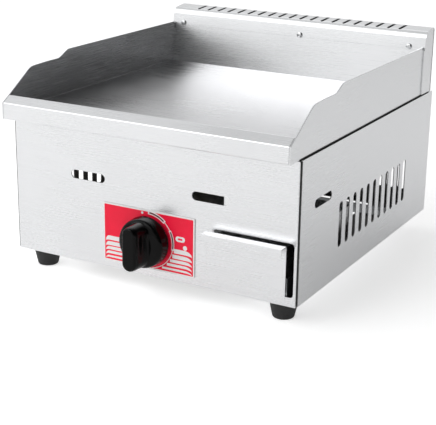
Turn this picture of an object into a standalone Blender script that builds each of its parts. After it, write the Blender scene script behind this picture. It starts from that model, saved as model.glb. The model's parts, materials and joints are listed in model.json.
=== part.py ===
"""Table-top gas griddle: sheet casing, cooking plate in splash guards, flue hood, one burner, one knob,
a grease drawer and four rubber feet. Metres, +Z up, the front faces -Y, the origin is on the ground
under the middle of the object."""

import math

import bmesh
import bpy
from mathutils import Matrix, Vector

# Driving dimensions
WIDTH = 0.400
CASING_FRONT = -0.215
CASING_BACK = 0.215
CASING_BOTTOM = 0.024
CASING_TOP = 0.200
SHEET = 0.0012
GAP = 0.0003
PANEL_EDGE = 0.1983
FLANGE_DEPTH = 0.015

SLOT_LENGTH = 0.050
SLOT_HEIGHT = 0.011
FRONT_SLOT_Z = 0.138
FRONT_SLOT_XS = (-0.088, 0.085)
SIDE_TOP = 0.2003
SIDE_SLOT_COUNT = 11
SIDE_SLOT_PITCH = 0.0215
SIDE_SLOT_FIRST_Y = -0.097
SIDE_SLOT_WIDTH = 0.010
SIDE_SLOT_LOW = 0.064
SIDE_SLOT_HIGH = 0.122
SIDE_OBLONG_Y = -0.151
SIDE_OBLONG_LENGTH = 0.048
BACK_SLOT_COUNT = 16
BACK_SLOT_PITCH = 0.0165
BACK_SLOT_WIDTH = 0.011
BACK_SLOT_LOW = 0.050
BACK_SLOT_HIGH = 0.096
BACK_SLOT_FIRST_X = -0.085

PLATE_BOTTOM = 0.202
PLATE_TOP = 0.210
PLATE_FRONT = -0.1764
PLATE_BACK = 0.1617
TRAY_HALF = 0.1957
GUARD_INNER = 0.196
GUARD_OUTER = 0.1975
GUARD_BACK = 0.170
LIP_FACE = -0.240
LIP_BOTTOM = 0.201
LIP_TOP = 0.2215
RIM_RIDGE = (-0.2255, 0.230)

TROUGH_HALF = 0.190
TROUGH_FRONT = -0.1976
TROUGH_BACK = -0.1764
TROUGH_FLOOR = 0.184
DRAIN_X = 0.139
DRAIN_RADIUS = 0.010

SPLASH_FOOT = (0.1625, 0.2024)
SPLASH_LEAN = 0.1627
SPLASH_TOP_Z = 0.2735
HOOD_HALF = 0.1995
HOOD_EDGE_Z = 0.2640
HOOD_BACK = 0.2050
HOOD_TOP = 0.2904
HOOD_SLIT_COUNT = 20
HOOD_SLIT_PITCH = 0.01675
HOOD_SLIT_FIRST_X = -0.1602
HOOD_SLIT_YS = (0.1795, 0.2015)
HOOD_SLIT_SLANT = 0.002
HOOD_SCREW_XS = (-0.1808, 0.0118, 0.1765)
HOOD_SCREW_Z = 0.2668

VALVE_Z = 0.0715
KNOB_RADIUS = 0.0315
KNOB_BACK = -0.220
KNOB_FRONT = -0.261
CONTROL_PLATE_HALF = 0.065
CONTROL_PLATE_LOW = 0.0345
CONTROL_PLATE_HIGH = 0.1095

DRAWER_X = (0.094, 0.184)
DRAWER_Y = (-0.2215, -0.030)
DRAWER_Z = (0.040, 0.096)
DRAWER_FRONT_X = (0.0845, 0.1885)
DRAWER_OPENING_X = (0.090, 0.195)
DRAWER_OPENING_Z = (0.036, 0.1018)

BURNER_Z = 0.165
BURNER_LEG_X = 0.080
BURNER_FRONT_Y = -0.094
BURNER_BACK_Y = 0.115
BURNER_RADIUS = 0.014
MIXER_RADIUS = 0.011
TUBE_WALL = 0.0015

INLET_X = -0.150
INLET_END = 0.261
PIPE_RADIUS = 0.005
PIPE_FRONT_Y = -0.192

FOOT_ROWS = ((-0.190, 0.172), (0.190, 0.143))
FOOT_TOP_RADIUS = 0.018
FOOT_BOTTOM_RADIUS = 0.013
BACK_SCREW_XS = (-0.190, 0.190)
BACK_SCREW_ZS = (0.045, 0.180)

# How a flat outline's own two directions and its thickness lie in the object
PLANES = {
    "XY": Matrix.Identity(4),
    "XZ": Matrix.Rotation(math.radians(90), 4, "X"),
    "YZ": Matrix(((0, 0, 1, 0), (1, 0, 0, 0), (0, 1, 0, 0), (0, 0, 0, 1))),
}


def clear_scene():
    for old in list(bpy.data.objects):
        bpy.data.objects.remove(old, do_unlink=True)


def new_collection(name, hidden=False):
    collection = bpy.data.collections.new(name)
    collection.hide_render = hidden
    bpy.context.scene.collection.children.link(collection)
    return collection


def new_material(name, colour, roughness, metallic):
    material = bpy.data.materials.new(name)
    material.use_nodes = True
    shader = material.node_tree.nodes["Principled BSDF"]
    shader.inputs["Base Color"].default_value = (*colour, 1.0)
    shader.inputs["Roughness"].default_value = roughness
    shader.inputs["Metallic"].default_value = metallic
    return material


clear_scene()
GRIDDLE = new_collection("flat_top_griddle")
CUTTERS = new_collection("cutters", hidden=True)

STAINLESS = new_material("brushed stainless", (0.62, 0.62, 0.63), 0.32, 1.0)
PLATE_STEEL = new_material("ground plate steel", (0.56, 0.56, 0.57), 0.28, 1.0)
GALVANISED = new_material("galvanised sheet", (0.48, 0.49, 0.50), 0.45, 1.0)
BLACK_STEEL = new_material("black painted steel", (0.02, 0.02, 0.02), 0.55, 0.0)
BRASS = new_material("brass", (0.72, 0.52, 0.24), 0.3, 1.0)
BLACK_PLASTIC = new_material("glossy black plastic", (0.01, 0.01, 0.01), 0.12, 0.0)
RUBBER = new_material("black rubber", (0.015, 0.015, 0.015), 0.7, 0.0)
PRINTED_RED = new_material("red printed plate", (0.78, 0.04, 0.06), 0.35, 0.0)
ZINC = new_material("zinc plated screw", (0.66, 0.66, 0.66), 0.25, 1.0)
CERAMIC = new_material("white ceramic", (0.85, 0.84, 0.80), 0.4, 0.0)
LEAD_SLEEVE = new_material("red silicone sleeve", (0.55, 0.05, 0.03), 0.5, 0.0)


def place(obj, material=None):
    """Puts a finished node in the griddle, or a helper with no material among the cutters."""
    if material is None:
        CUTTERS.objects.link(obj)
        obj.hide_render = True
        obj.display_type = "WIRE"
        return obj
    GRIDDLE.objects.link(obj)
    obj.data.materials.append(material)
    return obj


def mesh_object(name, bm, material=None):
    mesh = bpy.data.meshes.new(name)
    bm.to_mesh(mesh)
    bm.free()
    return place(bpy.data.objects.new(name, mesh), material)


def box(name, low, high, material=None):
    bm = bmesh.new()
    bmesh.ops.create_cube(bm, size=1.0)
    size = [b - a for a, b in zip(low, high)]
    middle = [(a + b) / 2 for a, b in zip(low, high)]
    bmesh.ops.scale(bm, vec=size, verts=bm.verts)
    bmesh.ops.translate(bm, vec=middle, verts=bm.verts)
    return mesh_object(name, bm, material)


def rod(name, start, end, radius, material=None, sides=16):
    """A solid cylinder from one point to another; six sides make a hexagon."""
    start = Vector(start)
    along = Vector(end) - start
    bm = bmesh.new()
    bmesh.ops.create_cone(
        bm, cap_ends=True, segments=sides, radius1=radius, radius2=radius, depth=along.length
    )
    turn = along.to_track_quat("Z", "Y").to_matrix().to_4x4()
    bmesh.ops.transform(bm, matrix=Matrix.Translation(start + along / 2) @ turn, verts=bm.verts)
    return mesh_object(name, bm, material)


def smooth(obj, degrees=35):
    obj.data.shade_smooth()
    obj.data.set_sharp_from_angle(angle=math.radians(degrees))
    return obj


def turned(name, profile, base, direction, material=None, steps=20):
    """A turned solid. The profile holds (radius, distance along direction from base) points and runs
    down the outer side, from the far end to the base; a ring's profile comes back up its bore."""
    bm = bmesh.new()
    points = [bm.verts.new((radius, 0, along)) for radius, along in profile]
    for first, second in zip(points, points[1:]):
        bm.edges.new((first, second))
    if profile[0][0] > 0:
        bm.edges.new((points[-1], points[0]))
    obj = mesh_object(name, bm, material)
    screw = obj.modifiers.new("turn", "SCREW")
    screw.steps = steps
    screw.render_steps = steps
    screw.use_merge_vertices = True
    screw.merge_threshold = 0.00001
    obj.matrix_world = Matrix.Translation(base) @ (
        Vector(direction).to_track_quat("Z", "Y").to_matrix().to_4x4()
    )
    return obj


def as_mesh(obj, material=None):
    """The object as a plain mesh with its modifiers applied and its caps welded."""
    bpy.context.view_layer.update()
    graph = bpy.context.evaluated_depsgraph_get()
    mesh = bpy.data.meshes.new_from_object(obj.evaluated_get(graph))
    bm = bmesh.new()
    bm.from_mesh(mesh)
    bmesh.ops.remove_doubles(bm, verts=bm.verts, dist=0.000005)
    bmesh.ops.recalc_face_normals(bm, faces=bm.faces)
    bm.to_mesh(mesh)
    bm.free()
    name = obj.name
    mesh.materials.clear()
    made = bpy.data.objects.new(name, mesh)
    made.matrix_world = obj.matrix_world.copy()
    bpy.data.objects.remove(obj, do_unlink=True)
    made.name = name
    return place(made, material)


def flat(name, outlines, thickness, plane, middle, material=None):
    """A flat solid from closed outlines; one inside another is a hole. middle is where the middle of
    its thickness lies, along the direction the plane leaves out."""
    curve = bpy.data.curves.new(name, "CURVE")
    curve.dimensions = "2D"
    curve.fill_mode = "BOTH"
    curve.extrude = thickness / 2
    for outline in outlines:
        spline = curve.splines.new("POLY")
        spline.points.add(len(outline) - 1)
        for point, (across, up) in zip(spline.points, outline):
            point.co = (across, up, 0, 1)
        spline.use_cyclic_u = True
    obj = bpy.data.objects.new(name, curve)
    CUTTERS.objects.link(obj)
    offset = {"XY": (0, 0, middle), "XZ": (0, middle, 0), "YZ": (middle, 0, 0)}[plane]
    obj.matrix_world = Matrix.Translation(offset) @ PLANES[plane]
    return as_mesh(obj, material)


def tube(name, points, radius, material=None, sides=12, smooth_route=False):
    """A round bar along points; with smooth_route the line is a smooth curve through them."""
    curve = bpy.data.curves.new(name, "CURVE")
    curve.dimensions = "3D"
    curve.bevel_depth = radius
    curve.bevel_resolution = (sides - 4) // 2
    curve.use_fill_caps = True
    curve.resolution_u = 4
    spline = curve.splines.new("BEZIER" if smooth_route else "POLY")
    if smooth_route:
        spline.bezier_points.add(len(points) - 1)
        for knot, point in zip(spline.bezier_points, points):
            knot.co = point
            knot.handle_left_type = "AUTO"
            knot.handle_right_type = "AUTO"
    else:
        spline.points.add(len(points) - 1)
        for knot, point in zip(spline.points, points):
            knot.co = (*point, 1)
    obj = bpy.data.objects.new(name, curve)
    CUTTERS.objects.link(obj)
    return smooth(as_mesh(obj, material))


def folded(name, profile, axis, low, high, material, thickness=SHEET):
    """Sheet folded along lines that run in X or Y. The profile holds the middle of the sheet: (y, z)
    points for X, (x, z) points for Y."""
    bm = bmesh.new()
    if axis == "X":
        points = [bm.verts.new((low, y, z)) for y, z in profile]
        sweep = (high - low, 0, 0)
    else:
        points = [bm.verts.new((x, low, z)) for x, z in profile]
        sweep = (0, high - low, 0)
    edges = [bm.edges.new(pair) for pair in zip(points, points[1:])]
    swept = bmesh.ops.extrude_edge_only(bm, edges=edges)
    moved = [part for part in swept["geom"] if isinstance(part, bmesh.types.BMVert)]
    bmesh.ops.translate(bm, vec=sweep, verts=moved)
    obj = mesh_object(name, bm, material)
    shell = obj.modifiers.new("sheet", "SOLIDIFY")
    shell.thickness = thickness
    shell.offset = 0
    shell.use_even_offset = True
    return obj


def boolean(obj, other, operation):
    modifier = obj.modifiers.new(other.name, "BOOLEAN")
    modifier.operation = operation
    modifier.object = other
    return obj


def cut(obj, *cutters):
    for cutter in cutters:
        boolean(obj, cutter, "DIFFERENCE")
    return obj


def join(obj, *others):
    for other in others:
        boolean(obj, other, "UNION")
    return obj


def arc(centre, radius, start, end, steps):
    """Points on a circle from start to end degrees, both included."""
    angles = [math.radians(start + (end - start) * step / steps) for step in range(steps + 1)]
    return [(centre[0] + radius * math.cos(a), centre[1] + radius * math.sin(a)) for a in angles]


def rounded_box(low, high, radius, steps=4):
    """The outline of a rectangle with round corners, anticlockwise."""
    left, bottom = low
    right, top = high
    return (
        arc((right - radius, bottom + radius), radius, -90, 0, steps)
        + arc((right - radius, top - radius), radius, 0, 90, steps)
        + arc((left + radius, top - radius), radius, 90, 180, steps)
        + arc((left + radius, bottom + radius), radius, 180, 270, steps)
    )


def slot(centre, length, width, upright=False, steps=6):
    """The outline of a slot with round ends, lying or upright."""
    reach = (length - width) / 2
    across, up = centre
    if upright:
        return arc((across, up + reach), width / 2, 0, 180, steps) + arc(
            (across, up - reach), width / 2, 180, 360, steps
        )
    return arc((across + reach, up), width / 2, -90, 90, steps) + arc(
        (across - reach, up), width / 2, 90, 270, steps
    )


def circle(centre, radius, steps=16):
    return arc(centre, radius, 0, 360, steps)[:-1]


def bent_line(points, radii, steps=4):
    """The points of a line whose inner corners are rounded, one radius for each corner."""
    line = [points[0]]
    for before, corner, after, radius in zip(points, points[1:], points[2:], radii):
        corner = Vector(corner)
        inward = (Vector(before) - corner).normalized()
        outward = (Vector(after) - corner).normalized()
        half = inward.angle(outward) / 2
        centre = corner + (inward + outward).normalized() * radius / math.sin(half)
        start = corner + inward * radius / math.tan(half) - centre
        end = corner + outward * radius / math.tan(half) - centre
        for step in range(steps + 1):
            line.append(tuple(centre + start.slerp(end, step / steps).normalized() * radius))
    line.append(points[-1])
    return line


def leaning(z):
    """The y of the middle of the rear splash at height z."""
    return SPLASH_FOOT[0] + SPLASH_LEAN * (z - SPLASH_FOOT[1])


def hood_line(inset=0.0):
    """The middle line of the hood's sheet from its front edge to its back edge, moved inwards."""
    step_forward = (SHEET + GAP) * math.hypot(1, SPLASH_LEAN)
    edge_y = leaning(HOOD_EDGE_Z) - step_forward + inset
    bend_z = 0.2868 - inset
    bend_y = edge_y + SPLASH_LEAN * (bend_z - HOOD_EDGE_Z)
    corners = (
        (edge_y, HOOD_EDGE_Z),
        (bend_y, bend_z),
        (HOOD_BACK - inset, HOOD_TOP - inset),
        (HOOD_BACK - inset, 0.2016),
    )
    return bent_line(corners, (0.010 - inset, 0.0028 - inset), steps=5)


def screw(name, seat, direction, length, head_radius=0.004, shank_radius=0.0019):
    """A pan-head screw whose head rests at seat and whose shank runs along direction."""
    height = head_radius * 0.6
    profile = [(0, length), (shank_radius, length), (shank_radius, 0)]
    profile += [(head_radius, 0), (head_radius, -height * 0.45)]
    profile += [(head_radius * 0.75, -height * 0.9), (0, -height)]
    return smooth(turned(name, profile, seat, direction, ZINC, steps=10))


def make_front_panel():
    low = (-PANEL_EDGE, CASING_FRONT, CASING_BOTTOM)
    high = (PANEL_EDGE, CASING_FRONT + FLANGE_DEPTH, CASING_TOP)
    panel = box("front_panel", low, high, STAINLESS)
    inner_low = (low[0] + SHEET, low[1] + SHEET, low[2] + SHEET)
    inner_high = (high[0] - SHEET, high[1] + SHEET, high[2] - SHEET)
    inside = box("front_panel_inside", inner_low, inner_high)
    holes = [slot((x, FRONT_SLOT_Z), SLOT_LENGTH, SLOT_HEIGHT) for x in FRONT_SLOT_XS]
    holes.append(circle((0, VALVE_Z), 0.0104, 20))
    corners = zip(DRAWER_OPENING_X, DRAWER_OPENING_Z)
    holes.append(rounded_box(*corners, 0.004))
    openings = flat("front_panel_openings", holes, 0.004, "XZ", CASING_FRONT)
    cut(panel, inside, openings)


def make_side_panels():
    slots = []
    middle = (SIDE_SLOT_LOW + SIDE_SLOT_HIGH) / 2
    for index in range(SIDE_SLOT_COUNT):
        y = SIDE_SLOT_FIRST_Y + index * SIDE_SLOT_PITCH
        slots.append(slot((y, middle), SIDE_SLOT_HIGH - SIDE_SLOT_LOW, SIDE_SLOT_WIDTH, True, 5))
    oblong = (SIDE_OBLONG_Y, FRONT_SLOT_Z + 0.001)
    slots.append(slot(oblong, SIDE_OBLONG_LENGTH, SLOT_HEIGHT))
    for name, side in (("left_side_panel", -1), ("right_side_panel", 1)):
        outer = WIDTH / 2
        low = (outer - SHEET, -0.2136, CASING_BOTTOM)
        high = (outer, 0.2135, SIDE_TOP)
        bottom_low = (0.122, -0.1997, CASING_BOTTOM)
        bottom_high = (outer - SHEET / 2, 0.1997, CASING_BOTTOM + SHEET)
        back_low = (0.183, 0.2123, 0.0255)
        back_high = (outer - SHEET / 2, 0.2135, 0.1985)
        pairs = ((low, high), (bottom_low, bottom_high), (back_low, back_high))
        solids = []
        for number, (start, end) in enumerate(pairs):
            xs = sorted((start[0] * side, end[0] * side))
            solids.append(((xs[0], *start[1:]), (xs[1], *end[1:]), number))
        panel = box(name, *solids[0][:2], STAINLESS)
        for start, end, number in solids[1:]:
            join(panel, box(f"{name}_flange_{number}", start, end))
        cut(panel, flat(f"{name}_slots", slots, 0.006, "YZ", side * outer))
        for number, (y, reach) in enumerate(FOOT_ROWS):
            x = side * reach
            cut(panel, rod(f"{name}_foot_hole_{number}", (x, y, 0.02), (x, y, 0.03), 0.0029))
        for number, z in enumerate(BACK_SCREW_ZS):
            x = side * BACK_SCREW_XS[1]
            cut(panel, rod(f"{name}_back_hole_{number}", (x, 0.20, z), (x, 0.22, z), 0.0022, sides=12))


def make_back_panel():
    low = (-HOOD_HALF, 0.200, CASING_BOTTOM)
    high = (HOOD_HALF, CASING_BACK, CASING_TOP)
    panel = box("back_panel", low, high, STAINLESS)
    inner_low = (low[0] - SHEET, low[1] - SHEET, low[2] + SHEET)
    inner_high = (high[0] + SHEET, high[1] - SHEET, high[2] - SHEET)
    cut(panel, box("back_panel_inside", inner_low, inner_high))
    for number, side in enumerate((-1, 1)):
        xs = sorted((side * 0.1965, side * 0.21))
        corner = box(f"back_panel_corner_{number}", (xs[0], 0.19, 0.02), (xs[1], 0.2137, 0.21))
        cut(panel, corner)
    middle = (BACK_SLOT_LOW + BACK_SLOT_HIGH) / 2
    holes = []
    for index in range(BACK_SLOT_COUNT):
        x = BACK_SLOT_FIRST_X + index * BACK_SLOT_PITCH
        holes.append(slot((x, middle), BACK_SLOT_HIGH - BACK_SLOT_LOW, BACK_SLOT_WIDTH, True, 5))
    holes.append(circle((INLET_X, VALVE_Z), 0.0109))
    for x in BACK_SCREW_XS:
        holes += [circle((x, z), 0.0022, 12) for z in BACK_SCREW_ZS]
    cut(panel, flat("back_panel_holes", holes, 0.004, "XZ", CASING_BACK))


def make_plate_rails():
    for name, side in (("left_plate_rail", -1), ("right_plate_rail", 1)):
        pieces = (
            ((0.1970, -0.1995, 0.170), (0.1982, 0.1995, 0.2006)),
            ((0.1800, -0.1660, 0.2005), (0.1982, 0.1990, 0.2017)),
            ((0.1910, -0.2132, 0.2005), (0.1982, -0.1650, 0.2017)),
        )
        solids = []
        for number, (start, end) in enumerate(pieces):
            xs = sorted((start[0] * side, end[0] * side))
            solids.append(((xs[0], *start[1:]), (xs[1], *end[1:])))
        rail = box(name, *solids[0], BLACK_STEEL)
        for number, solid in enumerate(solids[1:]):
            join(rail, box(f"{name}_ledge_{number}", *solid))


def make_cooking_tray():
    plate = box(
        "griddle_plate",
        (-TRAY_HALF, PLATE_FRONT, PLATE_BOTTOM),
        (TRAY_HALF, PLATE_BACK, PLATE_TOP),
        PLATE_STEEL,
    )
    edge = plate.modifiers.new("eased edges", "BEVEL")
    edge.width = 0.0008
    edge.segments = 1

    half = SHEET / 2
    rim = (
        (-0.216, LIP_BOTTOM + half),
        (LIP_FACE + half, LIP_BOTTOM + half),
        (LIP_FACE + half, LIP_TOP - half / 2),
        (RIM_RIDGE[0], RIM_RIDGE[1] - half),
        (-0.2125, 0.2028),
        (-0.1978, 0.2028),
    )
    radii = (0.0012, 0.0015, 0.002, 0.002)
    folded("front_rim", bent_line(rim, radii, 2), "X", -TRAY_HALF, TRAY_HALF, STAINLESS)

    guard = [(-0.216, 0.202), (-0.216, LIP_BOTTOM), (LIP_FACE, LIP_BOTTOM), (LIP_FACE, LIP_TOP)]
    top = ((*RIM_RIDGE,), (-0.1815, 0.2575), (-0.150, 0.2585), (-0.1215, 0.2585))
    top += ((-0.101, 0.2675), (GUARD_BACK, 0.2675))
    guard += bent_line(top, (0.022, 0.010, 0.014, 0.014), 4)
    guard.append((GUARD_BACK, 0.202))
    middle = (GUARD_INNER + GUARD_OUTER) / 2
    thickness = GUARD_OUTER - GUARD_INNER
    flat("left_splash_guard", [guard], thickness, "YZ", -middle, STAINLESS)
    flat("right_splash_guard", [guard], thickness, "YZ", middle, STAINLESS)

    line = (SPLASH_FOOT, (leaning(SPLASH_TOP_Z), SPLASH_TOP_Z))
    splash = folded("rear_splash", line, "X", -TRAY_HALF, TRAY_HALF, STAINLESS)
    cut(splash, *hood_screw_holes("rear_splash"))


def make_grease_path():
    ledge_low = (-TROUGH_HALF, -0.212, 0.2005)
    ledge_high = (TROUGH_HALF, -0.168, 0.2017)
    trough = box("grease_trough", ledge_low, ledge_high, STAINLESS)
    low = (-TROUGH_HALF, TROUGH_FRONT, TROUGH_FLOOR)
    high = (TROUGH_HALF, TROUGH_BACK, 0.2011)
    join(trough, box("grease_trough_body", low, high))
    inner_low = (low[0] + SHEET, low[1] + SHEET, low[2] + SHEET)
    inner_high = (high[0] - SHEET, high[1] - SHEET, 0.21)
    cut(trough, box("grease_trough_inside", inner_low, inner_high))
    y = (TROUGH_FRONT + TROUGH_BACK) / 2
    drain = rod("grease_trough_drain", (DRAIN_X, y, 0.18), (DRAIN_X, y, 0.19), DRAIN_RADIUS - 0.002)
    cut(trough, drain)
    inner = DRAIN_RADIUS - 0.0012
    length = TROUGH_FLOOR - GAP - 0.112
    profile = [(DRAIN_RADIUS, length), (DRAIN_RADIUS, 0), (inner, 0), (inner, length)]
    smooth(turned("grease_chute", profile, (DRAIN_X, y, 0.112), (0, 0, 1), STAINLESS, steps=16))


def hood_screw_frame(x):
    """Where a hood screw's head rests, and the way its shank points."""
    down = Vector((0, 1, -SPLASH_LEAN)).normalized()
    middle = Vector((x, leaning(HOOD_SCREW_Z), HOOD_SCREW_Z))
    return middle - down * (SHEET * 1.5 + GAP * 2), down


def hood_screw_holes(name):
    holes = []
    for number, x in enumerate(HOOD_SCREW_XS):
        seat, down = hood_screw_frame(x)
        start = seat - down * 0.003
        holes.append(rod(f"{name}_hole_{number}", start, seat + down * 0.006, 0.0022, sides=12))
    return holes


def make_flue():
    hood = folded("flue_hood", hood_line(), "X", -HOOD_HALF, HOOD_HALF, STAINLESS)
    slits = []
    front, back = HOOD_SLIT_YS
    for index in range(HOOD_SLIT_COUNT):
        x = HOOD_SLIT_FIRST_X + index * HOOD_SLIT_PITCH
        slant = math.degrees(math.atan2(back - front, HOOD_SLIT_SLANT))
        near = arc((x, front + 0.0015), 0.0015, slant + 90, slant + 270, 3)
        far = arc((x + HOOD_SLIT_SLANT, back - 0.0015), 0.0015, slant - 90, slant + 90, 3)
        slits.append(near + far)
    cut(hood, flat("flue_hood_slits", slits, 0.02, "XY", HOOD_TOP), *hood_screw_holes("flue_hood"))
    for number, (name, side) in enumerate((("left_flue_end", -1), ("right_flue_end", 1))):
        inner_line = hood_line(SHEET / 2 + GAP)
        top = HOOD_EDGE_Z - 0.0005
        outline = [(0.1705, 0.202), (0.1705, top), (inner_line[0][0] + 0.0003, top)]
        outline += inner_line[1:-1] + [(inner_line[-1][0], 0.202)]
        end = flat(name, [outline], SHEET, "YZ", side * 0.1986, STAINLESS)
        xs = sorted((side * 0.1962, side * 0.1986))
        join(end, box(f"{name}_return", (xs[0], 0.1705, 0.2021), (xs[1], 0.1717, top - 0.0001)))


def make_burner():
    turn = 0.034
    leg_path = ((-BURNER_LEG_X, BURNER_BACK_Y), (-BURNER_LEG_X, BURNER_FRONT_Y))
    leg_path += ((BURNER_LEG_X, BURNER_FRONT_Y), (BURNER_LEG_X, BURNER_BACK_Y))
    path = [(x, y, BURNER_Z) for x, y in bent_line(leg_path, (turn, turn), 5)]
    burner = tube("burner_tube", path, BURNER_RADIUS, BLACK_STEEL, sides=12)
    inner = [*path]
    inner[0] = (path[0][0], path[0][1] - TUBE_WALL, BURNER_Z)
    inner[-1] = (path[-1][0], path[-1][1] - TUBE_WALL, BURNER_Z)
    hollow = tube("burner_tube_hollow", inner, BURNER_RADIUS - TUBE_WALL, sides=12)
    inlet = rod("burner_tube_inlet", (0, BURNER_FRONT_Y, 0.140), (0, BURNER_FRONT_Y, 0.165), 0.0114)
    ports = []
    for x in (-BURNER_LEG_X, BURNER_LEG_X):
        for index in range(12):
            y = -0.050 + index * 0.0135
            left, right = x - 0.0061, x + 0.0061
            low, high = y - 0.0011, y + 0.0011
            ports.append([(left, low), (right, low), (right, high), (left, high)])
    row = flat("burner_tube_ports", ports, 0.008, "XY", BURNER_Z + BURNER_RADIUS)
    cut(burner, hollow, inlet, row)

    mixer_path = ((-0.166, VALVE_Z), (BURNER_FRONT_Y, VALVE_Z), (BURNER_FRONT_Y, 0.153))
    path = [(0, y, z) for y, z in bent_line(mixer_path, (turn,), 6)]
    mixer = tube("mixing_tube", path, MIXER_RADIUS, BLACK_STEEL, sides=12)
    longer = [(0, -0.170, VALVE_Z), *path[1:-1], (0, BURNER_FRONT_Y, 0.157)]
    bore = tube("mixing_tube_bore", longer, MIXER_RADIUS - TUBE_WALL, sides=12)
    window = box("mixing_tube_windows", (-0.02, -0.162, VALVE_Z - 0.005), (0.02, -0.150, VALVE_Z + 0.005))
    cut(mixer, bore, window)

    sleeve = [(0.013, 0.022), (0.013, 0), (0.0058, 0), (0.0058, 0.0012), (0.0116, 0.0012)]
    sleeve.append((0.0116, 0.022))
    shutter = turned("air_shutter", sleeve, (0, -0.168, VALVE_Z), (0, 1, 0), ZINC, steps=24)
    tab = box("air_shutter_tab", (-0.001, -0.150, VALVE_Z + 0.0122), (0.001, -0.1461, VALVE_Z + 0.020))
    cut(shutter, window)
    join(shutter, tab)
    smooth(shutter)

    bottom = 0.1495
    strip = ((-0.1975, 0.166), (-0.1975, bottom), (0.1975, bottom), (0.1975, 0.166))
    front = folded("front_burner_bracket", strip, "Y", -0.062, -0.044, BLACK_STEEL, 0.0015)
    hole = rod("front_burner_bracket_hole", (0.060, -0.053, 0.14), (0.060, -0.053, 0.16), 0.0039)
    cut(front, hole)
    folded("rear_burner_bracket", strip, "Y", 0.090, 0.108, BLACK_STEEL, 0.0015)


def make_base():
    straps = (("front_base_strap", -0.156, -0.126), ("rear_base_strap", -0.050, -0.020))
    straps += (("back_base_strap", 0.146, 0.184),)
    for name, low, high in straps:
        box(name, (-0.196, low, 0.0255), (0.196, high, 0.0270), GALVANISED)
    line = ((-0.155, 0.0279), (-0.1414, 0.0279), (-0.1414, 0.118))
    shield = folded("heat_shield", line, "X", -0.048, 0.063, GALVANISED)
    hole = rod("heat_shield_hole", (0, -0.15, VALVE_Z), (0, -0.13, VALVE_Z), 0.0125, sides=20)
    cut(shield, hole)


def make_valve():
    depth = [(0.008, 0.042), (0.008, 0.036), (0.013, 0.036), (0.013, 0.0045), (0.010, 0.0045)]
    depth += [(0.010, 0), (0.0083, 0), (0.0083, 0.015), (0.0044, 0.015), (0.0044, 0.0325)]
    profile = [(0, 0.042), *depth, (0, 0.0325)]
    valve = turned("valve_body", profile, (0, -0.218, VALVE_Z), (0, 1, 0), BRASS)
    port = (-0.0267, PIPE_FRONT_Y, VALVE_Z)
    join(valve, rod("valve_inlet", port, (-0.008, PIPE_FRONT_Y, VALVE_Z), 0.007))
    smooth(valve)
    ring = rod("valve_nut", (0, -0.2178, VALVE_Z), (0, -0.2153, VALVE_Z), 0.0145, ZINC, sides=6)
    cut(ring, rod("valve_nut_bore", (0, -0.23, VALVE_Z), (0, -0.21, VALVE_Z), 0.0103, sides=20))
    smooth(rod("valve_stem", (0, -0.2395, VALVE_Z), (0, -0.190, VALVE_Z), 0.004, ZINC))
    cup = [(0.0076, 0.0015), (0.0076, 0), (0.0044, 0), (0.0044, 0.0015)]
    smooth(turned("spring_cup", cup, (0, -0.2187, VALVE_Z), (0, 1, 0), ZINC))

    turns = 4
    steps = 12
    coil = []
    for index in range(turns * steps + 1):
        angle = 2 * math.pi * index / steps
        along = -0.2160 + 0.0120 * index / (turns * steps)
        coil.append((0.0062 * math.cos(angle), along, VALVE_Z + 0.0062 * math.sin(angle)))
    tube("return_spring", coil, 0.0005, ZINC, sides=4)

    jet = [(0.005, 0.006), (0.005, 0), (0.001, 0), (0.001, 0.009), (0.0025, 0.009), (0.0025, 0.006)]
    turned("gas_jet", jet, (0, -0.1757, VALVE_Z), (0, 1, 0), BRASS, steps=12)


def make_gas_line():
    route = ((INLET_X, 0.206), (INLET_X, PIPE_FRONT_Y), (-0.028, PIPE_FRONT_Y))
    path = [(x, y, VALVE_Z) for x, y in bent_line(route, (0.030,), 6)]
    tube("gas_pipe", path, PIPE_RADIUS, BRASS)
    start = (-0.039, PIPE_FRONT_Y, VALVE_Z)
    nut = rod("pipe_nut", start, (-0.027, PIPE_FRONT_Y, VALVE_Z), 0.0095, BRASS, sides=6)
    bore_end = (-0.02, PIPE_FRONT_Y, VALVE_Z)
    cut(nut, rod("pipe_nut_bore", (-0.05, PIPE_FRONT_Y, VALVE_Z), bore_end, 0.0054, sides=12))

    bore = PIPE_RADIUS + 0.0004
    length = INLET_END - 0.198
    profile = [(0.0095, length), (0.0105, length - 0.001), (0.0105, 0.0155), (0.014, 0.0155)]
    profile += [(0.014, 0.009), (0.008, 0.009), (0.008, 0), (bore, 0), (bore, length)]
    nipple = turned("inlet_nipple", profile, (INLET_X, 0.198, VALVE_Z), (0, 1, 0), BRASS, steps=20)
    smooth(nipple)
    ends = ((INLET_X, CASING_BACK + GAP, VALVE_Z), (INLET_X, CASING_BACK + 0.0063, VALVE_Z))
    locknut = rod("inlet_locknut", *ends, 0.0155, ZINC, sides=6)
    cutter = rod("inlet_locknut_bore", (INLET_X, 0.21, VALVE_Z), (INLET_X, 0.23, VALVE_Z), 0.0109)
    cut(locknut, cutter)


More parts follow.
